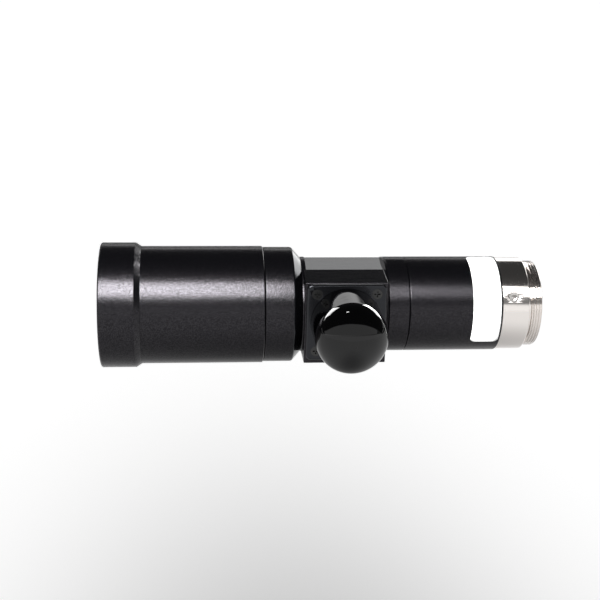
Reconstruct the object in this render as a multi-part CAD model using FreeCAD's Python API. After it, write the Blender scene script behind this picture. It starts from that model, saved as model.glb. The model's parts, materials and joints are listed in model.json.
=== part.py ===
import FreeCAD, Part
import math
import os

# A bi-telecentric lens with a coaxial light port, in millimetres.
# X is the optical axis and points to the camera, with X = 0 on the mount's flange face.
# The light port points along -Y, and +Z is up.

V = FreeCAD.Vector
ORIGIN = V(0, 0, 0)
AXIS_X = V(1, 0, 0)

# Camera mount: 1 inch-32 thread, flange face at X = 0
thread_radius = 12.7
thread_length = 4.0
thread_tip_chamfer = 0.4
mount_step = 0.25
mount_length = 8.0
mount_edge = 0.3
mount_throat_radius = 10.4
mount_web = 1.8
spigot_radius = 11.4
spigot_fit = 0.05
spigot_end_gap = 0.2

# Set screws that lock the mount, and the vee that they bear in
set_screw_count = 3
set_screw_angle = 25.0
set_screw_radius = 1.5
set_screw_setback = 3.25
set_screw_recess = 0.15
set_screw_socket_across = 1.5
set_screw_socket_depth = 1.2
set_screw_point_radius = 0.6
set_screw_tip_gap = 0.1
vee_depth = 0.6
vee_half_width = 1.65
vee_floor_half_width = 0.8

# Light port: tube, condenser, cover plate, screws and cap
port_tube_radius = 8.75
port_tube_length = 11.2
port_edge = 0.3
port_flange_step = 1.75
port_flange_thickness = 1.5
port_passage_radius = 6.0
light_bore_radius = 4.0
light_bore_depth = 8.9
condenser_radius = 6.5
condenser_edge = 2.0
condenser_rise = 1.1
port_ring_thickness = 1.6
port_ring_wall = 1.3
plate_thickness = 1.2
plate_corner = 1.5
plate_bevel = 0.35
plate_hole_fit = 0.05
screw_head_radius = 1.5
screw_shank_radius = 0.8
screw_length = 5.0
screw_land = 0.02
screw_edge = 1.3
screw_recess_depth = 0.6
screw_recess_width = 0.42
screw_recess_span = 1.7
pad_proud = 2.0
pad_margin_side = 0.5
pad_margin_top = 0.2
pad_margin_bottom = 1.3
pad_edge_round = 0.3
cap_fit = 0.05
cap_wall = 1.35
cap_straight = 12.0
cap_dome = 8.0
cap_shoulder_round = 6.0
cap_plate_gap = 0.1
cap_lip_edge = 0.3

# Beam splitter cube, its holder and the housing round them
cube_size = 14.0
cube_gap = 0.02
holder_corner_wall = 1.1
holder_lip = 0.15
holder_web = 0.85
holder_clear_radius = 6.2
flat_wall = 1.5
flat_to_round = 1.5
front_lip = 1.2
pad_front_gap = 0.25
pad_back_gap = 0.55
housing_throat_step = 1.0
collar_length = 6.5
collar_line_step = 0.35
joint_line_width = 0.25
joint_line_depth = 0.3

# Rear barrel and its lens group
rear_barrel_length = 27.3
rear_spigot_radius = 12.0
rear_spigot_length = 5.5
rear_spigot_gap = 0.2
rear_bore_radius = 10.5
rear_throat_radius = 9.2
rear_throat_length = 6.0
rear_field_edge = 3.0
rear_field_rise = 1.0
rear_spacer_length = 4.0
rear_flint_edge = 2.0
rear_back_rise = 0.3
rear_cement_rise = 1.0
rear_crown_edge = 3.5
rear_front_rise = 1.3
rear_ring_length = 2.5
stop_cup_length = 2.0
stop_cup_wall = 1.2
stop_disc_thickness = 1.2
stop_hole_radius = 3.0

# Front barrel, with the hood at its front and the neck adapter at its back
barrel_radius = 17.2
barrel_length = 35.2
barrel_front_wall = 0.9
barrel_back_wall = 2.2
barrel_seat_step = 1.6
baffle_thickness = 1.0
baffle_reach = 3.9
hood_step = 1.05
hood_wall = 2.55
hood_length = 10.1
hood_taper_length = 1.6
hood_rim_round = 0.6
hood_lip_length = 3.0
adapter_step = 0.3
adapter_wall = 3.6
adapter_body_length = 8.5
adapter_end_round = 0.4
adapter_spigot_length = 5.9
cone_length = 2.4
nose_step = 0.5
nose_wall = 1.6

# Objective group, counted from the barrel's nose inwards
objective_wall = 1.9
objective_recess = 3.0
objective_ring_length = 3.0
objective_crown_edge = 3.0
objective_front_rise = 1.6
objective_cement_rise = 1.5
objective_flint_edge = 2.5
objective_back_rise = 0.5
objective_spacer_length = 3.5
objective_field_edge = 3.0
objective_field_rise = 1.2

# Shared by every lens and threaded ring
lens_fit = 0.02
seat_width = 1.5
slot_width = 1.6
slot_depth = 0.9

# Blank label on the rear barrel; angles rise from the port's side to the top
label_width = 8.2
label_setback = 0.6
label_thickness = 0.12
label_corner = 1.0
label_start_angle = -35.0
label_end_angle = 103.0

# Radii and sizes that follow
holder_radius = cube_size / 2 * math.sqrt(2) + holder_corner_wall
flat_distance = holder_radius + flat_wall
body_radius = flat_distance + flat_to_round
mount_radius = body_radius - mount_step
housing_throat_radius = holder_radius - housing_throat_step
nose_radius = holder_radius + nose_step
port_flange_radius = port_tube_radius + port_flange_step
screw_pitch = math.sqrt(2) * (port_flange_radius + screw_head_radius + screw_land)
plate_side = screw_pitch + 2 * (screw_head_radius + screw_edge)
pad_length = plate_side + 2 * pad_margin_side
block_length = pad_front_gap + pad_length + pad_back_gap
flat_edge = math.sqrt(body_radius ** 2 - flat_distance ** 2)
cap_inner_radius = port_tube_radius + cap_fit
cap_outer_radius = cap_inner_radius + cap_wall
adapter_radius = barrel_radius - adapter_step
adapter_spigot_radius = barrel_radius - barrel_back_wall
barrel_bore_radius = adapter_spigot_radius - barrel_seat_step
baffle_hole_radius = barrel_bore_radius - baffle_reach
barrel_spigot_radius = barrel_radius - barrel_front_wall
objective_radius = barrel_spigot_radius - objective_wall
objective_clear = objective_radius - seat_width
hood_radius = barrel_radius + hood_step
hood_mouth_radius = hood_radius - hood_wall
rear_lens_radius = rear_bore_radius - lens_fit
rear_clear = rear_bore_radius - seat_width

# Stations along the light port, out from the optical axis
pad_face = body_radius + pad_proud
port_floor = pad_face - port_flange_thickness
plate_face = pad_face + plate_thickness
port_end = plate_face + port_tube_length
light_stop = port_end - light_bore_depth

# Stations along the optical axis, from the flange to the object side
mount_back_x = -mount_length
pocket_floor_x = -mount_web
set_screw_x = mount_back_x + set_screw_setback
spigot_end_x = pocket_floor_x - spigot_end_gap
rear_seat_x = mount_back_x - rear_throat_length
rear_field_x = rear_seat_x - rear_field_edge
rear_spacer_x = rear_field_x - rear_spacer_length
rear_flint_x = rear_spacer_x - rear_flint_edge
rear_crown_x = rear_flint_x - rear_crown_edge
rear_ring_x = rear_crown_x - rear_ring_length
stop_x = rear_ring_x - stop_cup_length - stop_disc_thickness
rear_barrel_x = mount_back_x - rear_barrel_length
rear_spigot_x = rear_barrel_x - rear_spigot_length
collar_front_x = rear_barrel_x - collar_length
block_front_x = collar_front_x - block_length
flats_front_x = block_front_x + front_lip
pad_front_x = block_front_x + pad_front_gap
port_x = pad_front_x + pad_length / 2
holder_front_x = port_x - cube_size / 2 - holder_lip
holder_back_x = port_x + cube_size / 2 + holder_web
cone_x = block_front_x - cone_length
adapter_x = cone_x - adapter_body_length
adapter_spigot_x = adapter_x - adapter_spigot_length
baffle_x = adapter_spigot_x - baffle_thickness
barrel_x = adapter_x - barrel_length
hood_taper_x = barrel_x - hood_taper_length
hood_x = hood_taper_x - hood_length
nose_x = hood_x + hood_lip_length
objective_ring_x = nose_x + objective_recess
crown_x = objective_ring_x + objective_ring_length
flint_x = crown_x + objective_crown_edge
spacer_x = flint_x + objective_flint_edge
field_x = spacer_x + objective_spacer_length
objective_seat_x = field_x + objective_field_edge


def turned(profile):
    """Solid of revolution about X from closed (x, r) points; a point (xm, rm, x, r) ends an arc through xm, rm."""
    edges = []
    for here, after in zip(profile, profile[1:] + profile[:1]):
        start = V(here[-2], 0, here[-1])
        end = V(after[-2], 0, after[-1])
        if start.isEqual(end, 1e-9):
            continue
        if len(after) == 4:
            edges.append(Part.Arc(start, V(after[0], 0, after[1]), end).toShape())
        else:
            edges.append(Part.LineSegment(start, end).toShape())
    return Part.Face(Part.Wire(edges)).revolve(ORIGIN, AXIS_X, 360)


def ring(x_low, x_high, r_in, r_out):
    return turned([(x_low, r_in), (x_low, r_out), (x_high, r_out), (x_high, r_in)])


def rod(x_low, x_high, radius):
    return Part.makeCylinder(radius, x_high - x_low, V(x_low, 0, 0), AXIS_X)


def box(x_low, x_high, y_low, y_high, z_low, z_high):
    return Part.makeBox(x_high - x_low, y_high - y_low, z_high - z_low, V(x_low, y_low, z_low))


def sphere_middle(x_seat, clear, rise):
    """Point halfway out on the spherical face that meets its flat seat at the clear radius."""
    sphere = (clear ** 2 + rise ** 2) / (2 * abs(rise))
    sag = sphere - math.sqrt(sphere ** 2 - (clear / 2) ** 2)
    return x_seat + math.copysign(abs(rise) - sag, rise), clear / 2


def lens(x_front, x_back, radius, clear, front_rise, back_rise):
    """Lens with flat seats at its edge. Each rise moves the middle of that face along X from its seat."""
    profile = [(x_front + front_rise, 0)]
    if front_rise:
        profile.append(sphere_middle(x_front, clear, front_rise) + (x_front, clear))
    profile += [(x_front, radius), (x_back, radius)]
    if back_rise:
        profile.append((x_back, clear))
        profile.append(sphere_middle(x_back, clear, back_rise) + (x_back + back_rise, 0))
    else:
        profile.append((x_back, 0))
    return turned(profile)


def spanner_slots(shape, x_face, inwards):
    """Cuts two slots for a pin spanner across a ring's face; inwards is the sign of X into the ring."""
    x_ends = sorted((x_face, x_face + inwards * slot_depth))
    reach = shape.BoundBox.YLength
    return shape.cut(box(x_ends[0], x_ends[1], -reach, reach, -slot_width / 2, slot_width / 2))


def at_port(shape):
    """Turns a shape made about X so that its axis is the port's, with its X leading out of the port."""
    placed = shape.copy()
    placed.rotate(ORIGIN, V(0, 0, 1), -90)
    placed.translate(V(port_x, 0, 0))
    return placed


def port_rod(t_low, t_high, radius):
    return at_port(rod(t_low, t_high, radius))


def screw_places():
    half = screw_pitch / 2
    return [V(port_x + side * half, 0, rise * half) for side in (-1, 1) for rise in (-1, 1)]


# Hood, front barrel and neck

def make_front_hood():
    round_out = hood_rim_round * (1 - math.sqrt(0.5))
    return turned([
        (hood_x, hood_mouth_radius),
        (hood_x, hood_radius - hood_rim_round),
        (hood_x + round_out, hood_radius - round_out, hood_x + hood_rim_round, hood_radius),
        (hood_taper_x, hood_radius),
        (barrel_x, barrel_radius),
        (barrel_x, barrel_spigot_radius),
        (nose_x, barrel_spigot_radius),
        (nose_x, hood_mouth_radius)])


def make_front_barrel():
    lens_bore = objective_radius + lens_fit
    return turned([
        (nose_x, lens_bore),
        (nose_x, barrel_spigot_radius),
        (barrel_x, barrel_spigot_radius),
        (barrel_x, barrel_radius),
        (adapter_x - joint_line_width, barrel_radius),
        (adapter_x, barrel_radius - joint_line_depth),
        (adapter_x, adapter_spigot_radius),
        (baffle_x, adapter_spigot_radius),
        (baffle_x, barrel_bore_radius),
        (objective_seat_x, barrel_bore_radius),
        (objective_seat_x, lens_bore)])


def make_light_baffle():
    bevel = baffle_thickness / 2
    return turned([
        (baffle_x, baffle_hole_radius),
        (baffle_x, adapter_spigot_radius),
        (adapter_spigot_x, adapter_spigot_radius),
        (adapter_spigot_x, baffle_hole_radius + bevel),
        (baffle_x + bevel / 2, baffle_hole_radius)])


def make_neck_adapter():
    mouth = adapter_spigot_radius - adapter_wall
    round_in = adapter_end_round * math.tan(math.radians(22.5))
    return turned([
        (adapter_spigot_x, mouth),
        (adapter_spigot_x, adapter_spigot_radius),
        (adapter_x, adapter_spigot_radius),
        (adapter_x, adapter_radius - joint_line_depth),
        (adapter_x + joint_line_width, adapter_radius),
        (cone_x - adapter_end_round, adapter_radius),
        (cone_x, adapter_radius - round_in),
        (block_front_x, body_radius),
        (block_front_x, nose_radius),
        (holder_front_x, nose_radius),
        (holder_front_x, nose_radius - nose_wall),
        (block_front_x, nose_radius - nose_wall)])


# Objective group, from the front

def make_front_retaining_ring():
    blank = ring(objective_ring_x, crown_x, objective_clear, objective_radius + lens_fit)
    return spanner_slots(blank, objective_ring_x, 1)


def make_objective_crown():
    return lens(crown_x, flint_x, objective_radius, objective_clear, -objective_front_rise, objective_cement_rise)


def make_objective_flint():
    return lens(flint_x, spacer_x, objective_radius, objective_clear, objective_cement_rise, objective_back_rise)


def make_objective_spacer():
    return ring(spacer_x, field_x, objective_clear, objective_radius)


def make_objective_field_lens():
    return lens(field_x, objective_seat_x, objective_radius, objective_clear, -objective_field_rise, 0)


# Housing and beam splitter

def make_prism_housing():
    body = rod(block_front_x, rear_barrel_x, body_radius)
    far = 2 * body_radius
    for turn in (0, 90, 180):
        flat = box(flats_front_x, collar_front_x, -far, far, flat_distance, far)
        flat.rotate(ORIGIN, AXIS_X, turn - 90)
        body = body.cut(flat)
    body = body.fuse(port_pad())
    for bore in (rod(block_front_x, holder_front_x, nose_radius),
                 rod(holder_front_x, holder_back_x, holder_radius),
                 rod(holder_back_x, rear_spigot_x, housing_throat_radius),
                 rod(rear_spigot_x - rear_spigot_gap, rear_barrel_x, rear_spigot_radius),
                 port_rod(0, port_floor, port_passage_radius),
                 port_rod(port_floor, pad_face, port_flange_radius)):
        body = body.cut(bore)
    tip = plate_face - screw_length
    for place in screw_places():
        body = body.cut(Part.makeCylinder(screw_shank_radius, pad_face - tip, place + V(0, -tip, 0), V(0, -1, 0)))
    collar_line = joint_line(collar_front_x + collar_line_step)
    return body.cut(collar_line).cut(joint_line(rear_barrel_x)).removeSplitter()


def port_pad():
    """Square pad that the plate lies on; its top falls away from the upper flat's edge to the pad's face."""
    low = -plate_side / 2 - pad_margin_bottom
    high = plate_side / 2 + pad_margin_top
    corners = [(0, low), (-pad_face, low), (-pad_face, high), (-flat_edge, flat_distance), (0, flat_distance)]
    points = [V(pad_front_x, y, z) for y, z in corners]
    pad = Part.Face(Part.makePolygon(points + points[:1])).extrude(V(pad_length, 0, 0))
    outer_edges = [edge for edge in pad.Edges if edge.BoundBox.YMin < -pad_face + 0.01]
    return pad.makeFillet(pad_edge_round, outer_edges)


def joint_line(x_middle):
    """Fine vee ring round the slim half's outside."""
    outside = body_radius + joint_line_depth
    return turned([
        (x_middle - joint_line_width, body_radius),
        (x_middle - joint_line_width, outside),
        (x_middle + joint_line_width, outside),
        (x_middle + joint_line_width, body_radius),
        (x_middle, body_radius - joint_line_depth)])


def make_splitter_holder():
    side = cube_size / 2 + cube_gap
    holder = rod(holder_front_x, holder_back_x, holder_radius)
    pocket = box(holder_front_x, port_x + cube_size / 2, -side, side, -side, side)
    exit_hole = rod(port_x, holder_back_x, holder_clear_radius)
    light_hole = port_rod(0, holder_radius, port_passage_radius)
    return holder.cut(pocket).cut(exit_hole).cut(light_hole)


def prism(corners):
    half = cube_size / 2
    points = [V(port_x + x * half, y * half, -half) for x, y in corners]
    return Part.Face(Part.makePolygon(points + points[:1])).extrude(V(0, 0, cube_size))


def make_splitter_prism_front():
    return prism([(-1, -1), (1, -1), (-1, 1)])


def make_splitter_prism_rear():
    return prism([(1, 1), (-1, 1), (1, -1)])


# Light port

def make_port_tube():
    return at_port(turned([
        (port_floor, condenser_radius),
        (port_floor, port_flange_radius),
        (pad_face, port_flange_radius),
        (pad_face, port_tube_radius),
        (port_end - port_edge, port_tube_radius),
        (port_end, port_tube_radius - port_edge),
        (port_end, light_bore_radius + port_edge),
        (port_end - port_edge, light_bore_radius),
        (light_stop, light_bore_radius),
        (light_stop, condenser_radius)]))


def make_port_condenser():
    clear = condenser_radius - port_ring_wall
    back = light_stop - condenser_edge
    return at_port(lens(back, light_stop, condenser_radius, clear, -condenser_rise, 0))


def make_port_lens_ring():
    back = light_stop - condenser_edge
    front = back - port_ring_thickness
    blank = ring(front, back, condenser_radius - port_ring_wall, condenser_radius)
    return at_port(spanner_slots(blank, front, 1))


def countersink(place):
    """Space of one countersunk screw, flush with the plate's outer face."""
    slope = screw_head_radius - screw_shank_radius
    head = Part.makeCone(screw_head_radius, screw_shank_radius, slope, V(0, 0, 0), V(0, 1, 0))
    shank = Part.makeCylinder(screw_shank_radius, screw_length, V(0, 0, 0), V(0, 1, 0))
    screw = head.fuse(shank)
    screw.translate(place + V(0, -plate_face, 0))
    return screw


def make_side_plate():
    half = plate_side / 2
    plate = box(port_x - half, port_x + half, -plate_face, -pad_face, -half, half)
    corners = [edge for edge in plate.Edges if edge.BoundBox.YLength > plate_thickness / 2]
    plate = plate.makeFillet(plate_corner, corners)
    front = [edge for edge in plate.Edges if edge.BoundBox.YMax < -plate_face + 0.01]
    plate = plate.makeChamfer(plate_bevel, front)
    plate = plate.cut(port_rod(pad_face, plate_face, port_tube_radius + plate_hole_fit))
    for place in screw_places():
        plate = plate.cut(countersink(place))
    return plate


def make_plate_screws():
    screws = []
    for place in screw_places():
        screw = countersink(place)
        for wide, tall in ((screw_recess_span, screw_recess_width), (screw_recess_width, screw_recess_span)):
            slot = box(-wide / 2, wide / 2, -plate_face, screw_recess_depth - plate_face, -tall / 2, tall / 2)
            slot.translate(place)
            screw = screw.cut(slot)
        screws.append(screw)
    return Part.makeCompound(screws)


def dome(shoulder, radius, height, round_radius):
    """Two tangent arcs from a tube's end at the shoulder to the axis: start, middle, tangent, middle, apex."""
    off_axis = radius - round_radius
    back = (off_axis ** 2 - (height - round_radius) ** 2) / (2 * (height - round_radius))
    crown = height + back
    tangent = math.atan2(off_axis, back)

    def on_arc(centre_x, centre_r, arc_radius, angle):
        return centre_x + arc_radius * math.cos(angle), centre_r + arc_radius * math.sin(angle)

    return ((shoulder, radius),
            on_arc(shoulder, off_axis, round_radius, (math.pi / 2 + tangent) / 2),
            on_arc(shoulder, off_axis, round_radius, tangent),
            on_arc(shoulder - back, 0, crown, tangent / 2),
            (shoulder + height, 0))


def make_port_cap():
    """Thin dome-ended cap, open beside the plate."""
    lip = plate_face + cap_plate_gap
    shoulder = plate_face + cap_straight
    start, bend, tangent, crown, apex = dome(shoulder, cap_outer_radius, cap_dome, cap_shoulder_round)
    inner = dome(shoulder, cap_inner_radius, cap_dome - cap_wall, cap_shoulder_round - cap_wall)
    inner_start, inner_bend, inner_tangent, inner_crown, inner_apex = inner
    return at_port(turned([
        (lip, cap_inner_radius),
        (lip, cap_outer_radius - cap_lip_edge),
        (lip + cap_lip_edge, cap_outer_radius),
        start,
        bend + tangent,
        crown + apex,
        inner_apex,
        inner_crown + inner_tangent,
        inner_bend + inner_start]))


# Rear barrel, its lens group and the label

def make_rear_barrel():
    vee_floor = spigot_radius - vee_depth
    return turned([
        (rear_spigot_x, rear_bore_radius),
        (rear_spigot_x, rear_spigot_radius),
        (rear_barrel_x, rear_spigot_radius),
        (rear_barrel_x, body_radius - joint_line_depth),
        (rear_barrel_x + joint_line_width, body_radius),
        (mount_back_x, body_radius),
        (mount_back_x, spigot_radius),
        (set_screw_x - vee_half_width, spigot_radius),
        (set_screw_x - vee_floor_half_width, vee_floor),
        (set_screw_x + vee_floor_half_width, vee_floor),
        (set_screw_x + vee_half_width, spigot_radius),
        (spigot_end_x, spigot_radius),
        (spigot_end_x, rear_throat_radius),
        (rear_seat_x, rear_throat_radius),
        (rear_seat_x, rear_bore_radius)])


def make_aperture_stop():
    return turned([
        (stop_x, stop_hole_radius),
        (stop_x, rear_bore_radius),
        (rear_ring_x, rear_bore_radius),
        (rear_ring_x, rear_bore_radius - stop_cup_wall),
        (stop_x + stop_disc_thickness, rear_bore_radius - stop_cup_wall),
        (stop_x + stop_disc_thickness, stop_hole_radius)])


def make_rear_retaining_ring():
    return spanner_slots(ring(rear_ring_x, rear_crown_x, rear_clear, rear_bore_radius), rear_ring_x, 1)


def make_rear_crown():
    return lens(rear_crown_x, rear_flint_x, rear_lens_radius, rear_clear, -rear_front_rise, rear_cement_rise)


def make_rear_flint():
    return lens(rear_flint_x, rear_spacer_x, rear_lens_radius, rear_clear, rear_cement_rise, rear_back_rise)


def make_rear_spacer():
    return ring(rear_spacer_x, rear_field_x, rear_clear, rear_lens_radius)


def make_rear_field_lens():
    return lens(rear_field_x, rear_seat_x, rear_lens_radius, rear_clear, -rear_field_rise, 0)


def make_blank_label():
    """Thin curved sheet with rounded corners, wrapped round part of the barrel."""
    x_high = mount_back_x - label_setback
    x_low = x_high - label_width
    outside = body_radius + label_thickness
    points = [V(x_low, -body_radius, 0), V(x_high, -body_radius, 0), V(x_high, -outside, 0), V(x_low, -outside, 0)]
    face = Part.Face(Part.makePolygon(points + points[:1]))
    face.rotate(ORIGIN, AXIS_X, -label_start_angle)
    sheet = face.revolve(ORIGIN, AXIS_X, label_start_angle - label_end_angle)
    corners = [edge for edge in sheet.Edges if edge.Length < 2 * label_thickness]
    return sheet.makeFillet(label_corner, corners)


# Camera mount and its set screws

def make_c_mount():
    mount = turned([
        (mount_back_x, spigot_radius + spigot_fit),
        (mount_back_x, mount_radius),
        (-mount_edge, mount_radius),
        (0, mount_radius - mount_edge),
        (0, thread_radius),
        (thread_length - thread_tip_chamfer, thread_radius),
        (thread_length, thread_radius - thread_tip_chamfer),
        (thread_length, mount_throat_radius),
        (pocket_floor_x, mount_throat_radius),
        (pocket_floor_x, spigot_radius + spigot_fit)])
    for turn in set_screw_turns():
        hole = Part.makeCylinder(set_screw_radius, mount_radius, V(set_screw_x, 0, 0), V(0, -1, 0))
        hole.rotate(ORIGIN, AXIS_X, -turn)
        mount = mount.cut(hole)
    return mount


def set_screw_turns():
    return [set_screw_angle + index * 360 / set_screw_count for index in range(set_screw_count)]


def make_mount_set_screws():
    head = mount_radius - set_screw_recess
    tip = spigot_radius - vee_depth + set_screw_tip_gap
    point = set_screw_radius - set_screw_point_radius
    corner = set_screw_socket_across / math.sqrt(3)
    hexagon = [V(head, corner * math.cos(side * math.pi / 3), corner * math.sin(side * math.pi / 3))
               for side in range(6)]
    socket = Part.Face(Part.makePolygon(hexagon + hexagon[:1])).extrude(V(-set_screw_socket_depth, 0, 0))
    pin = turned([(tip, 0), (tip, set_screw_point_radius), (tip + point, set_screw_radius),
                  (head, set_screw_radius), (head, 0)])
    blank = pin.cut(socket)
    screws = []
    for turn in set_screw_turns():
        screw = blank.copy()
        screw.rotate(ORIGIN, V(0, 0, 1), -90)
        screw.translate(V(set_screw_x, 0, 0))
        screw.rotate(ORIGIN, AXIS_X, -turn)
        screws.append(screw)
    return Part.makeCompound(screws)


nodes = {
    "front_hood": make_front_hood,
    "front_barrel": make_front_barrel,
    "front_retaining_ring": make_front_retaining_ring,
    "objective_crown": make_objective_crown,
    "objective_flint": make_objective_flint,
    "objective_spacer": make_objective_spacer,
    "objective_field_lens": make_objective_field_lens,
    "light_baffle": make_light_baffle,
    "neck_adapter": make_neck_adapter,
    "prism_housing": make_prism_housing,
    "splitter_holder": make_splitter_holder,
    "splitter_prism_front": make_splitter_prism_front,
    "splitter_prism_rear": make_splitter_prism_rear,
    "side_plate": make_side_plate,
    "plate_screws": make_plate_screws,
    "port_tube": make_port_tube,
    "port_condenser": make_port_condenser,
    "port_lens_ring": make_port_lens_ring,
    "port_cap": make_port_cap,
    "rear_barrel": make_rear_barrel,
    "aperture_stop": make_aperture_stop,
    "rear_retaining_ring": make_rear_retaining_ring,
    "rear_crown": make_rear_crown,
    "rear_flint": make_rear_flint,
    "rear_spacer": make_rear_spacer,
    "rear_field_lens": make_rear_field_lens,
    "blank_label": make_blank_label,
    "c_mount": make_c_mount,
    "mount_set_screws": make_mount_set_screws,
}

os.makedirs("parts", exist_ok=True)
for name, make in nodes.items():
    shape = make()
    shape.exportStep("parts/" + name + ".step")
    box_now = shape.BoundBox
    print(f"{name:22s} {len(shape.Solids)} solid  {shape.Volume:9.1f} mm3  "
          f"x {box_now.XMin:8.2f} {box_now.XMax:8.2f}  y {box_now.YMin:7.2f} {box_now.YMax:7.2f}")
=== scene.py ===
import json
import math
import bpy
import numpy as np
from mathutils import Matrix, Vector


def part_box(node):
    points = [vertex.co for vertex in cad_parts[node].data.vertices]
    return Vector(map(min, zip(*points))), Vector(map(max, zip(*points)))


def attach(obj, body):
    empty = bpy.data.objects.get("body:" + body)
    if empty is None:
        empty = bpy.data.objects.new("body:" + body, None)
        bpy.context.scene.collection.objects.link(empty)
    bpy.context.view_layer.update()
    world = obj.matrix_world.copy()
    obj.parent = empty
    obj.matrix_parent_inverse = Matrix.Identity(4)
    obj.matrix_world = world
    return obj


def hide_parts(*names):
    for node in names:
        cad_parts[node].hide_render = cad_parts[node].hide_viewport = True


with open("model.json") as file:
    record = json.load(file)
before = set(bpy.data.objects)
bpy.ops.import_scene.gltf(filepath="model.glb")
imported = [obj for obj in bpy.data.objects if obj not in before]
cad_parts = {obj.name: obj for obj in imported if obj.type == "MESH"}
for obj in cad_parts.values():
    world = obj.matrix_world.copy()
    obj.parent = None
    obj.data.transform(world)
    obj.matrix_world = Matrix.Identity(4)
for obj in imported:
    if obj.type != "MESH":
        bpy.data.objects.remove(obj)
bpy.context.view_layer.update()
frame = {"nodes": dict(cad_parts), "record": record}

# Bi-telecentric lens with a coaxial light port: finishes, broken edges, camera thread, blank label,
# studio and camera.
# Lengths are in metres, and a value whose name ends in Mm is in millimetres.
# X is the optical axis and points to the camera mount, the light port points along -Y, +Z is up.

mm = 0.001
scene = bpy.context.scene
nodes = frame["nodes"]


def toLinear(hexColour):
    # each sRGB channel: below 0.04045 divided by 12.92, above it raised to the power 2.4
    srgb = np.array([int(hexColour[i:i + 2], 16) for i in (0, 2, 4)]) / 255
    linear = np.where(srgb <= 0.04045, srgb / 12.92, ((srgb + 0.055) / 1.055) ** 2.4)
    return (*linear.tolist(), 1.0)


def addNode(tree, kind, settings=None, links=None):
    # settings gives attributes and socket values by name or number, links gives the output for a socket
    node = tree.nodes.new(kind)
    for key, value in (settings or {}).items():
        if isinstance(key, str) and key in node.bl_rna.properties:
            setattr(node, key, value)
        else:
            node.inputs[key].default_value = value
    for key, output in (links or {}).items():
        tree.links.new(output, node.inputs[key])
    return node


def newMaterial(name, shader):
    # one Principled shader; its constants are set on its own sockets
    material = bpy.data.materials.new(name)
    material.use_nodes = True
    tree = material.node_tree
    tree.nodes.clear()
    surface = addNode(tree, "ShaderNodeBsdfPrincipled", shader)
    addNode(tree, "ShaderNodeOutputMaterial", None, {"Surface": surface.outputs["BSDF"]})
    place = addNode(tree, "ShaderNodeTexCoord").outputs["Object"]
    return material, tree, surface, place


def perMetre(sizeMm):
    # a noise cell is about one over its scale, so the scale is one over the grain's size in metres
    return 1 / (sizeMm * mm)


def addGrain(tree, surface, place, grain, stretch=(1, 1, 1)):
    # fine bumps: noise with cells of the grain's size, drawn out along an axis where its stretch is under 1
    fine = perMetre(grain["grainMm"])
    drawn = addNode(tree, "ShaderNodeMapping", {"Scale": [fine * share for share in stretch]},
                    {"Vector": place})
    noise = addNode(tree, "ShaderNodeTexNoise", {"Scale": 1.0, "Detail": 2.0, "Roughness": 0.6},
                    {"Vector": drawn.outputs["Vector"]})
    bump = addNode(tree, "ShaderNodeBump", {"Strength": 1.0, "Distance": grain["heightMm"] * mm},
                   {"Height": noise.outputs["Fac"]})
    tree.links.new(bump.outputs["Normal"], surface.inputs["Normal"])
    return noise


grainValues = (0.3, 0.7)       # most of the grain noise lies between these


def addSpread(tree, surface, noise, settings):
    # roughness wanders evenly about its middle value with the noise
    half = settings["roughnessSpread"] / 2
    rough = addNode(tree, "ShaderNodeMapRange", {
        "From Min": grainValues[0],
        "From Max": grainValues[1],
        "To Min": settings["roughness"] - half,
        "To Max": settings["roughness"] + half}, {"Value": noise.outputs["Fac"]})
    tree.links.new(rough.outputs["Result"], surface.inputs["Roughness"])


# Sand-blasted aluminium, anodised satin black: the eye sees near black, and a grainy sheen under a light
blasted = {
    "colour": "030304",
    "sheen": "F9F4FD",     # a trace of violet in the gloss, the painted-in tint of the light from below and in front
    "roughness": 0.24,
    "roughnessSpread": 0.06,
    "ior": 1.38,
    "grainMm": 0.50,       # blasting pits are nearer 0.1 mm; drawn coarse enough to show at this size
    "heightMm": 0.030,
    "glintMm": 0.27,       # pit by pit, the gloss is weaker or stronger
    "glint": (0.34, 0.72),
    "glintValues": (0.32, 0.68),      # most of its noise lies between these
}


def makeBlastedAnodised(name, settings):
    material, tree, surface, place = newMaterial(name, {
        "Base Color": toLinear(settings["colour"]),
        "Specular Tint": toLinear(settings["sheen"]),
        "IOR": settings["ior"],
        "Roughness": settings["roughness"]})
    addSpread(tree, surface, addGrain(tree, surface, place, settings), settings)
    pits = addNode(tree, "ShaderNodeTexNoise", {"Scale": perMetre(settings["glintMm"]), "Detail": 0.0},
                   {"Vector": place})
    glint = addNode(tree, "ShaderNodeMapRange", {
        "From Min": settings["glintValues"][0],
        "From Max": settings["glintValues"][1],
        "To Min": settings["glint"][0],
        "To Max": settings["glint"][1]}, {"Value": pits.outputs["Fac"]})
    tree.links.new(glint.outputs["Result"], surface.inputs["Specular IOR Level"])
    return material


# Milled aluminium, anodised black without blasting: smoother, with faint straight cutter lines
milled = {
    "colour": "040405",
    # a trace of blue in the gloss, the painted-in tint of the light it mirrors from behind
    "sheen": "F2F6FF",
    "roughness": 0.14,
    "roughnessSpread": 0.06,
    "ior": 1.42,
    "grainMm": 0.25,
    "alongX": 0.04,        # cutter lines run along X
    "heightMm": 0.002,
}


def makeMilledAnodised(name, settings):
    material, tree, surface, place = newMaterial(name, {
        "Base Color": toLinear(settings["colour"]),
        "Specular Tint": toLinear(settings["sheen"]),
        "IOR": settings["ior"],
        "Roughness": settings["roughness"]})
    noise = addGrain(tree, surface, place, settings, (settings["alongX"], 1, 1))
    addSpread(tree, surface, noise, settings)
    return material


# Turned brass with bright nickel plate: a soft mirror with fine rings, warm white
nickel = {
    "colour": "E1DCD8",
    "roughness": 0.12,
    "roughnessSpread": 0.05,
    "grainMm": 0.22,       # the tool's feed, softened by the plating
    "aroundX": 0.35,       # rings close round X, so the noise is drawn out across X
    "heightMm": 0.006,
}


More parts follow.
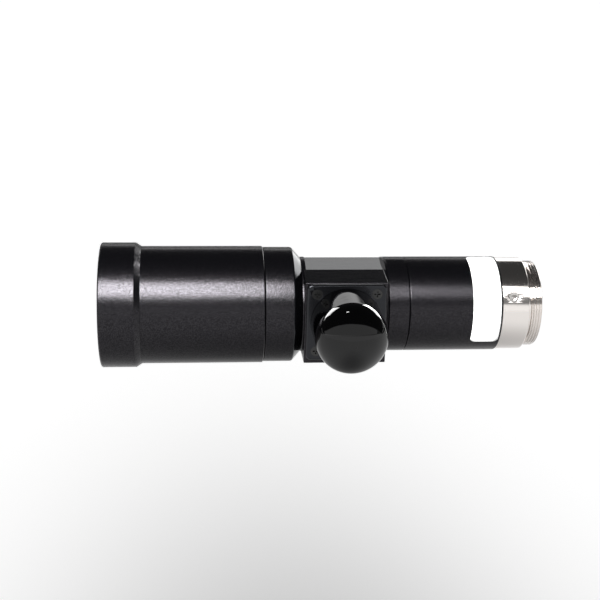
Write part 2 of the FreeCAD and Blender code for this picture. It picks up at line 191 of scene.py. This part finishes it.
def makeNickelPlate(name, settings):
    material, tree, surface, place = newMaterial(name, {
        "Base Color": toLinear(settings["colour"]),
        "Metallic": 1.0,
        "Roughness": settings["roughness"]})
    noise = addGrain(tree, surface, place, settings, (1, settings["aroundX"], settings["aroundX"]))
    addSpread(tree, surface, noise, settings)
    return material


# Black anodised inside faces: dull and even, so that no stray light gets through
innerBlack = {"colour": "060606", "roughness": 0.62, "ior": 1.5, "grainMm": 0.3, "heightMm": 0.004}

# Steel screws, black oxide: dark grey with an oily gloss
blackOxide = {"colour": "070707", "roughness": 0.22, "ior": 1.5, "grainMm": 0.2, "heightMm": 0.002}

# Dip-moulded soft vinyl: glossy black, with the slow waves that the dip leaves
vinyl = {"colour": "030304", "roughness": 0.03, "ior": 1.42, "grainMm": 6.0, "heightMm": 0.03}

# Coated label sheet: white, faintly satin
label = {"colour": "F1F2F1", "roughness": 0.42, "ior": 1.46, "grainMm": 0.4, "heightMm": 0.002}


def makeGrained(name, settings):
    # any plain coat with a fine grain: one colour, one gloss
    material, tree, surface, place = newMaterial(name, {
        "Base Color": toLinear(settings["colour"]),
        "IOR": settings["ior"],
        "Roughness": settings["roughness"]})
    addGrain(tree, surface, place, settings)
    return material


# Stainless set screws: bright, lightly tumbled
stainless = {"colour": "C9C6C3", "roughness": 0.14, "grainMm": 0.25, "heightMm": 0.003}


def makeStainless(name, settings):
    material, tree, surface, place = newMaterial(name, {
        "Base Color": toLinear(settings["colour"]),
        "Metallic": 1.0,
        "Roughness": settings["roughness"]})
    addGrain(tree, surface, place, settings)
    return material


# Polished optical glass with an anti-reflection coat: clear, with a dim green and violet glint
coatedGlass = {"colour": "FBFDFF", "ior": 1.62, "coatNm": 160.0, "coatIor": 1.38, "roughness": 0.0}


def makeCoatedGlass(name, settings):
    return newMaterial(name, {
        "Base Color": toLinear(settings["colour"]),
        "IOR": settings["ior"],
        "Roughness": settings["roughness"],
        "Transmission Weight": 1.0,
        "Thin Film Thickness": settings["coatNm"],
        "Thin Film IOR": settings["coatIor"]})[0]


materials = {
    "blasted_anodised": makeBlastedAnodised("blastedBlackAnodisedAluminium", blasted),
    "milled_anodised": makeMilledAnodised("milledBlackAnodisedAluminium", milled),
    "inner_black": makeGrained("innerBlackAnodisedAluminium", innerBlack),
    "nickel_mount": makeNickelPlate("nickelPlatedTurnedBrass", nickel),
    "black_steel": makeGrained("blackOxideSteel", blackOxide),
    "stainless_steel": makeStainless("stainlessSetScrewSteel", stainless),
    "optical_glass": makeCoatedGlass("coatedOpticalGlass", coatedGlass),
    "cap_vinyl": makeGrained("dippedBlackVinyl", vinyl),
    "label_sheet": makeGrained("whiteLabelSheet", label),
}
print("materials made:", len(materials))

# Each CAD node takes the finish of its slot, apart from the few that are named here
otherFinish = {"mount_set_screws": "stainless_steel"}
slotOf = {row["node"]: row["material_slot"] for row in frame["record"]["subparts"]}
for name, slotName in slotOf.items():
    mesh = nodes[name].data
    mesh.materials.clear()
    mesh.materials.append(materials[otherFinish.get(name, slotName)])
    mesh.shade_smooth()
print("nodes dressed:", len(nodes))


def meshObject(name, points, faces):
    # faces may have three or four corners each
    mesh = bpy.data.meshes.new(name)
    mesh.from_pydata(points.tolist(), [], faces.tolist())
    mesh.shade_smooth()
    made = bpy.data.objects.new(name, mesh)
    scene.collection.objects.link(made)
    return made


def gridFaces(rows, columns, ringRows=False, ringColumns=False):
    # four-sided cells of a grid; a ring direction joins its last line to its first
    index = np.arange(rows * columns).reshape(rows, columns)
    if ringRows:
        index = np.concatenate([index, index[:1]])
    if ringColumns:
        index = np.concatenate([index, index[:, :1]], 1)
    return np.stack([index[:-1, :-1], index[:-1, 1:], index[1:, 1:], index[1:, :-1]], -1).reshape(-1, 4)


mergeCellMm = 0.0002           # corners that share a cell this small share a place


def mergedNode(node):
    # a node's triangles with the corners that share a place made one, and any that fall flat left out
    mesh = nodes[node].data
    places = np.empty(len(mesh.vertices) * 3)
    corners = np.empty(len(mesh.loops), dtype=int)
    mesh.vertices.foreach_get("co", places)
    mesh.loops.foreach_get("vertex_index", corners)
    places = places.reshape(-1, 3)
    cells = np.round(places / (mergeCellMm * mm)).astype(int)
    first, merged = np.unique(cells, axis=0, return_index=True, return_inverse=True)[1:]
    faces = merged.reshape(-1)[corners].reshape(-1, 3)
    whole = (faces[:, 0] != faces[:, 1]) & (faces[:, 1] != faces[:, 2]) & (faces[:, 2] != faces[:, 0])
    return places[first], faces[whole]


def faceNormals(points, faces):
    # cross product of two sides of each triangle, at unit length
    a, b, c = (points[faces[:, k]] for k in range(3))
    across = np.cross(b - a, c - a)
    return across / np.maximum(np.linalg.norm(across, axis=1, keepdims=True), 1e-20)


sharpEdge = {"above": math.radians(24), "segments": 2}    # two faces turned further apart meet in an edge


def breakEdges(made, widthMm):
    # small round on each sharp edge; each corner's normal leans to its large faces, so that flats stay flat
    bevel = made.modifiers.new("brokenEdges", "BEVEL")
    bevel.width = widthMm * mm
    bevel.segments = sharpEdge["segments"]
    bevel.limit_method = "ANGLE"
    bevel.angle_limit = sharpEdge["above"]
    bevel.use_clamp_overlap = True
    weigh = made.modifiers.new("flatFaces", "WEIGHTED_NORMAL")
    weigh.mode = "FACE_AREA"
    weigh.keep_sharp = True


def dressCopy(name, node, body, points, faces, others=()):
    # stands for a CAD node; others gives (material, face mask) for the faces that don't take its main finish
    made = meshObject(name, points, faces)
    made.data.materials.append(materials[slotOf[node]])
    index = np.zeros(len(faces), dtype=np.int32)
    for material, mask in others:
        made.data.materials.append(materials[material])
        index[mask] = len(made.data.materials) - 1
    made.data.polygons.foreach_set("material_index", index)
    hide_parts(node)
    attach(made, body)
    return made


# Outer bodies with their edges broken, as the maker does before blasting
brokenEdge = {
    "front_hood": 0.12,
    "front_barrel": 0.10,
    "neck_adapter": 0.10,
    "prism_housing": 0.12,
    "side_plate": 0.06,
    "port_tube": 0.06,
    "rear_barrel": 0.10,
}

# Faces that are milled after the blasting, told by where they lie and how far their normals lean
milledFaces = {
    "square": 0.9995,           # a flat's normal lies along Y or Z by more than this
    "fromAxisMm": 11.0,         # a flat is further from the axis than this
    "underRoundMm": 0.5,        # and nearer to it than the round by this
    "padLean": (0.05, 0.2),     # the pad's top leans a few degrees from the upper flat towards the port
    "endLean": 0.001,           # and along X by less than this
    "coneLean": (0.2, 0.95),    # the cone's normals lean towards the camera mount
    "coneStartMm": 12.0,        # the cone is past this length of its adapter
}


def housingMilled(points, faces, settings):
    normals = faceNormals(points, faces)
    depth = np.abs((points[faces].mean(axis=1) * normals).sum(axis=1))
    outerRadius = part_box("rear_barrel")[1][2]
    square = np.abs(normals)[:, 1:].max(axis=1) > settings["square"]
    inBand = (depth < outerRadius - settings["underRoundMm"] * mm) & (depth > settings["fromAxisMm"] * mm)
    lean = -normals[:, 1]
    leaning = (lean > settings["padLean"][0]) & (lean < settings["padLean"][1])
    return (square & inBand) | (leaning & (np.abs(normals[:, 0]) < settings["endLean"]))


def adapterMilled(points, faces, settings):
    lean = faceNormals(points, faces)[:, 0]
    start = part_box("neck_adapter")[0][0] + settings["coneStartMm"] * mm
    leaning = (lean > settings["coneLean"][0]) & (lean < settings["coneLean"][1])
    return leaning & (points[faces][:, :, 0].min(axis=1) > start)


def makeOuterBodies():
    for node, widthMm in brokenEdge.items():
        points, faces = mergedNode(node)
        others = []
        level = np.zeros(len(faces), dtype=bool)
        if node == "prism_housing":
            level = housingMilled(points, faces, milledFaces)
            others.append(("milled_anodised", level))
        if node == "neck_adapter":
            others.append(("milled_anodised", adapterMilled(points, faces, milledFaces)))
        made = dressCopy(node.replace("_", ".") + ".edged", node, "lens", points, faces, others)
        made.data.polygons.foreach_set("use_smooth", ~level)      # the flats are shaded flat, the rest round
        breakEdges(made, widthMm)


makeOuterBodies()
print("outer bodies edged:", len(brokenEdge))

# Camera thread: 1 inch-32, cut to its true form, with the relief that the tool runs out in
thread = {
    "pitchMm": 25.4 / 32,
    "majorMm": 12.7,
    "depthMm": 0.43,
    "crest": 1 / 8,        # flat crest and root, as shares of the pitch
    "root": 1 / 4,
    "reliefMm": 0.75,      # length of the relief beside the flange
    "reliefDepthMm": 0.62,
    "reliefRise": 1.7,     # slope that ends it
    "tipMm": 0.4,          # chamfer at the end
    "startMm": -0.1,       # the sleeve starts inside the flange
    "overMm": 0.05,        # the plain thread's corners are less than this outside its radius
    "beforeMm": 0.01,      # and less than this in front of the flange face
    "coreMm": 11.5,        # plain ring that the threaded sleeve sits on
    "boreMm": 10.7,
    "rows": 170,
    "columns": 216,
    "edgeMm": 0.07,
}


def threadRadius(x, turn, settings, length):
    # ridge: the distance from the nearest crest line, a right-hand helix, sets how far the flank has fallen;
    # relief and end chamfer: straight limits; the surface is the lowest of the three
    phase = (x / settings["pitchMm"] - turn / (2 * np.pi)) % 1
    crestEnd, rootStart = settings["crest"] / 2, 1 / 2 - settings["root"] / 2
    fall = np.clip((np.abs(phase - 0.5) - crestEnd) / (rootStart - crestEnd), 0, 1)
    ridge = settings["majorMm"] - settings["depthMm"] * fall
    past = np.clip((x - settings["reliefMm"]) * settings["reliefRise"], 0, settings["reliefDepthMm"])
    relief = settings["majorMm"] - settings["reliefDepthMm"] + past
    chamfer = settings["majorMm"] - np.clip(x - (length - settings["tipMm"]), 0, None)
    return np.minimum(np.minimum(ridge, relief), chamfer)


def makeMount(settings):
    points, faces = mergedNode("c_mount")
    length = points[:, 0].max() / mm
    # the plain thread is drawn in to a core: its outer corners move in along their radius
    radius = np.hypot(points[:, 1], points[:, 2]) / mm
    atThread = (radius < settings["majorMm"] + settings["overMm"]) & (radius > settings["coreMm"])
    outer = atThread & (points[:, 0] > -settings["beforeMm"] * mm)
    share = np.where(outer, settings["coreMm"] / np.maximum(radius, 1e-9), 1.0)
    core = points * np.stack([np.ones_like(share), share, share], -1)
    body = dressCopy("nickel.mount.body", "c_mount", "mount", core, faces)
    breakEdges(body, settings["edgeMm"])

    x, turn = np.meshgrid(np.linspace(settings["startMm"], length, settings["rows"]),
                          np.arange(settings["columns"]) * 2 * np.pi / settings["columns"], indexing="ij")
    r = threadRadius(x, turn, settings, length)
    x = np.concatenate([x[:1], x, x[-1:]])          # the first and last row close the sleeve on its bore
    turn = np.concatenate([turn[:1], turn, turn[-1:]])
    bore = np.full_like(r[:1], settings["boreMm"])
    r = np.concatenate([bore, r, bore])
    sleeve = np.stack([x, r * np.cos(turn), r * np.sin(turn)], -1) * mm
    faces = gridFaces(*r.shape, ringRows=True, ringColumns=True)
    made = meshObject("camera.thread", sleeve.reshape(-1, 3), faces)
    made.data.materials.append(materials["nickel_mount"])
    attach(made, "mount")


makeMount(thread)
print("mount and thread made")

# Blank label, wrapped on the rear barrel
labelSheet = {
    "from": math.radians(-35.0),     # angle from the port's side, rising towards the top
    "to": math.radians(94.0),
    "cornerMm": 1.6,
    "thicknessMm": 0.12,
    "rows": 120,
    "columns": 9,
}


def makeLabel(settings):
    # a rounded rectangle bent round X: the angle runs along it, and near each end its half width is less by
    # what a quarter circle takes off; each row is a thin closed loop, and the end rows have no thickness
    low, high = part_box("blank_label")
    outside = high[2]
    inside = outside - settings["thicknessMm"] * mm
    middle, half = (low[0] + high[0]) / 2, (high[0] - low[0]) / 2
    corner = settings["cornerMm"] * mm
    even = np.linspace(0, 1, settings["rows"])
    share = 0.5 - 0.5 * np.cos(np.pi * even)         # closer rows at the ends, where the corners turn
    turn = settings["from"] + (settings["to"] - settings["from"]) * share
    length = (settings["to"] - settings["from"]) * outside
    inwards = np.clip(corner - length * np.minimum(share, 1 - share), 0, corner)
    width = half - corner + np.sqrt(corner ** 2 - inwards ** 2)
    across = np.linspace(-1, 1, settings["columns"])
    across = np.concatenate([across, across[::-1]])
    radius = np.repeat([outside, inside], settings["columns"])
    radius = np.tile(radius, (settings["rows"], 1))
    radius[[0, -1]] = (outside + inside) / 2
    x = middle + width[:, None] * across
    points = np.stack([x, -radius * np.cos(turn)[:, None], radius * np.sin(turn)[:, None]], -1)
    made = meshObject("label.sheet", points.reshape(-1, 3), gridFaces(*radius.shape, ringColumns=True))
    made.data.materials.append(materials["label_sheet"])
    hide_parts("blank_label")
    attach(made, "lens")


makeLabel(labelSheet)
print("label made")

# Camera, fitted to the photograph: it looks across the axis from the port's side, a little from above
camera = {
    "footX": -95.8 * mm,          # its place along the optical axis
    "distance": 334.7 * mm,       # from that axis
    "raised": math.radians(18.7),
    "yaw": math.radians(5.11),
    "pitch": math.radians(0.19),
    "roll": math.radians(-0.30),
    "focalPixels": 1132.0,
    "imagePixels": 600.0,
    "sensorMm": 36.0,
    "nearest": 0.01,
    "furthest": 50.0,
}


def makeCamera(settings):
    e, yaw = settings["raised"], settings["yaw"]
    ahead = Vector((math.sin(yaw), math.cos(yaw) * math.cos(e), -math.cos(yaw) * math.sin(e)))
    right = Vector((math.cos(yaw), -math.sin(yaw) * math.cos(e), math.sin(yaw) * math.sin(e)))
    up = Vector((0, math.sin(e), math.cos(e)))
    p, r = settings["pitch"], settings["roll"]
    ahead, up = ahead * math.cos(p) + up * math.sin(p), up * math.cos(p) - ahead * math.sin(p)
    right, up = right * math.cos(r) + up * math.sin(r), up * math.cos(r) - right * math.sin(r)
    distance = settings["distance"]
    place = Vector((settings["footX"], -distance * math.cos(e), distance * math.sin(e)))
    data = bpy.data.cameras.new("photoCamera")
    data.sensor_width = settings["sensorMm"]
    data.lens = settings["focalPixels"] / settings["imagePixels"] * settings["sensorMm"]
    data.clip_start = settings["nearest"]
    data.clip_end = settings["furthest"]
    made = bpy.data.objects.new("photoCamera", data)
    turn = Matrix((right, up, -ahead)).transposed().to_4x4()
    made.matrix_world = Matrix.Translation(place) @ turn
    scene.collection.objects.link(made)
    scene.camera = made
    return right, up, -ahead


viewRight, viewUp, viewBack = makeCamera(camera)
print("camera made")

# Studio: a pale floor well below the held lens, whose glow holds a painted shadow of the lens, a band-lit
# room and soft lights
studio = {
    "floorDropMm": 330.0,
    "floorRadius": 9.0,
    "floorRings": (0.0001, 0.25, 0.5, 1.0),      # shares of its radius
    "floorColumns": 64,
    "floorColour": "F2F2F2",
    "floorRoughness": 0.9,
    "floorGlow": 0.93,
    "paintedShadowDepth": 0.64,                          # painted shadow of the lens: the floor's glow is this much less under it; the next two give its reach and its middle
    "paintedShadowReach": (0.18, 0.44, 1.0),
    "paintedShadowAt": (-0.035, 0.04, -0.33),
    # angle about X from the port's side, over the top, in degrees, and the brightness there
    "roomLevels": (
        (-180, 0.16), (-150, 0.4), (-2, 1.15), (12, 1.15), (15, 0.22), (44, 0.22),
        (48, 0.04), (156, 0.04), (160, 1.3), (164, 1.3), (167, 0.20), (180, 0.16)),
    "roomStrength": 1.6,
    "wallColour": "FFFFFF",
}


def makeFloor(settings):
    # a disc: radius along one parameter, angle along the other
    columns = settings["floorColumns"]
    ring, turn = np.meshgrid(np.array(settings["floorRings"]) * settings["floorRadius"],
                             np.arange(columns) * 2 * np.pi / columns, indexing="ij")
    low = -settings["floorDropMm"] * mm
    points = np.stack([ring * np.cos(turn), ring * np.sin(turn), np.full_like(ring, low)], -1)
    faces = gridFaces(*ring.shape, ringColumns=True)[:, ::-1]
    floor = meshObject("studioFloor", points.reshape(-1, 3), faces)
    material, tree, surface, place = newMaterial("paleFloor", {
        "Base Color": toLinear(settings["floorColour"]),
        "Roughness": settings["floorRoughness"],
        "Emission Color": toLinear(settings["wallColour"])})
    # glow: its level less a bell curve of the distance from the shaded place; the bell is the lens's shadow,
    # painted into the floor's glow
    reach = settings["paintedShadowReach"]
    away = addNode(tree, "ShaderNodeMapping", {
        "Location": [-at / far for at, far in zip(settings["paintedShadowAt"], reach)],
        "Scale": [1 / far for far in reach]}, {"Vector": place})
    square = addNode(tree, "ShaderNodeVectorMath", {"operation": "DOT_PRODUCT"},
                     {0: away.outputs["Vector"], 1: away.outputs["Vector"]})
    paintedShadowBell = addNode(tree, "ShaderNodeMath", {"operation": "POWER", 0: 1 / math.e},
                   {1: square.outputs["Value"]})
    glow = addNode(tree, "ShaderNodeMath", {"operation": "MULTIPLY_ADD", 1: -settings["paintedShadowDepth"],
                                            2: settings["floorGlow"]}, {0: paintedShadowBell.outputs[0]})
    tree.links.new(glow.outputs[0], surface.inputs["Emission Strength"])
    floor.data.materials.append(material)
    return floor


def makeRoom(settings):
    # the room's brightness is a band pattern by the angle about X, with a plain pale wall for the camera
    world = bpy.data.worlds.new("studioRoom")
    scene.world = world
    world.use_nodes = True
    tree = world.node_tree
    tree.nodes.clear()
    way = addNode(tree, "ShaderNodeTexCoord").outputs["Generated"]
    parts = addNode(tree, "ShaderNodeSeparateXYZ", None, {0: way})
    toPort = addNode(tree, "ShaderNodeMath", {"operation": "MULTIPLY", 1: -1.0}, {0: parts.outputs["Y"]})
    angle = addNode(tree, "ShaderNodeMath", {"operation": "ARCTAN2"},
                    {0: parts.outputs["Z"], 1: toPort.outputs[0]})
    share = addNode(tree, "ShaderNodeMapRange", {"From Min": -math.pi, "From Max": math.pi},
                    {"Value": angle.outputs[0]})
    ramp = addNode(tree, "ShaderNodeValToRGB", None, {"Fac": share.outputs["Result"]})
    stops = ramp.color_ramp.elements
    levels = [((a + 180) / 360, v / settings["roomStrength"]) for a, v in settings["roomLevels"]]
    stops[0].position, stops[1].position = levels[0][0], levels[-1][0]
    stops[0].color = (levels[0][1],) * 3 + (1,)
    stops[1].color = (levels[-1][1],) * 3 + (1,)
    for position, value in levels[1:-1]:
        stops.new(position).color = (value,) * 3 + (1,)
    room = addNode(tree, "ShaderNodeBackground", {"Strength": settings["roomStrength"]},
                   {"Color": ramp.outputs["Color"]})
    wall = addNode(tree, "ShaderNodeBackground", {"Color": toLinear(settings["wallColour"]), "Strength": 1.0})
    seen = addNode(tree, "ShaderNodeLightPath").outputs["Is Camera Ray"]
    mix = addNode(tree, "ShaderNodeMixShader", None, {0: seen, 1: room.outputs[0], 2: wall.outputs[0]})
    addNode(tree, "ShaderNodeOutputWorld", None, {"Surface": mix.outputs[0]})


# Soft lights, placed by the way to them from the lens: right, up and back towards the camera
lightTarget = Vector((-60 * mm, 0, 0))
lightDistance = 0.9
lights = {
    "stripLight": {"way": (0.0, 0.47, 0.883), "alongX": -0.33, "size": (0.9, 0.44), "radiance": 32.0,
                   "leaveOut": ["port_cap"]},
    "stripTail": {"way": (0.0, 0.46, 0.888), "alongX": 0.42, "size": (0.6, 0.40), "radiance": 3.6,
                  "leaveOut": ["port_cap"]},
    "rightBackLight": {"way": (0.56, 0.44, -0.70), "size": (0.56, 0.50), "radiance": 3.1},
    "leftBackLight": {"way": (-0.72, 0.46, -0.52), "size": (0.30, 0.30), "radiance": 3.0},
    "capSpot": {"way": (-0.12, 0.90, 0.40), "size": (0.09, 0.05), "radiance": 30.0,
                "only": ["port_cap"]},
    "capFront": {"way": (0.0, 0.187, 0.982), "size": (8.0, 0.515), "radiance": 0.66,
                 "only": ["port_cap"]},
    "capLeft": {"way": (-0.56, 0.66, -0.50), "size": (0.42, 0.42), "radiance": 13.0,
                "only": ["port_cap"]},
    "capRight": {"way": (0.54, 0.52, -0.66), "size": (0.50, 0.36), "radiance": 12.0,
                 "only": ["port_cap"]},
    "mountBack": {"way": (0.22, 0.58, -0.78), "size": (0.55, 0.40), "radiance": 1.9,
                  "only": ["nickel.mount.body", "camera.thread"]},
    "hoodBack": {"way": (0.745, 0.537, -0.397), "size": (0.40, 0.50), "radiance": 15.0,
                 "only": ["front.hood.edged"]},
}


def makeLight(name, settings):
    across, upwards, towards = settings["way"]
    way = (viewRight * across + viewUp * upwards + viewBack * towards).normalized()
    data = bpy.data.lights.new(name, "AREA")
    data.shape = "RECTANGLE"
    data.size, data.size_y = settings["size"]
    data.energy = settings["radiance"] * math.pi * data.size * data.size_y    # an area light's watts
    made = bpy.data.objects.new(name, data)
    side = Vector((1, 0, 0))
    side = (side - way * side.dot(way)).normalized()
    turn = Matrix((side, way.cross(side), way)).transposed().to_4x4()
    centre = lightTarget + way * lightDistance + Vector((settings.get("alongX", 0.0), 0, 0))
    made.matrix_world = Matrix.Translation(centre) @ turn
    made.visible_camera = False
    scene.collection.objects.link(made)
    return made


def setReach(light, members, state):
    # light linking: a collection of what this light alone reaches, or of what it leaves out
    reach = bpy.data.collections.new(light.name + "Reach")
    for member in members:
        reach.objects.link(member)
    light.light_linking.receiver_collection = reach
    for member in reach.collection_objects:
        member.light_linking.link_state = state


floor = makeFloor(studio)
makeRoom(studio)
for name, settings in lights.items():
    made = makeLight(name, settings)
    members = [nodes.get(member) or bpy.data.objects[member]
               for member in settings.get("only", []) + settings.get("leaveOut", [])]
    if "only" in settings:
        setReach(made, members, "INCLUDE")
    else:
        setReach(made, [floor] + members, "EXCLUDE")
scene.view_settings.view_transform = "Standard"
print("studio made")
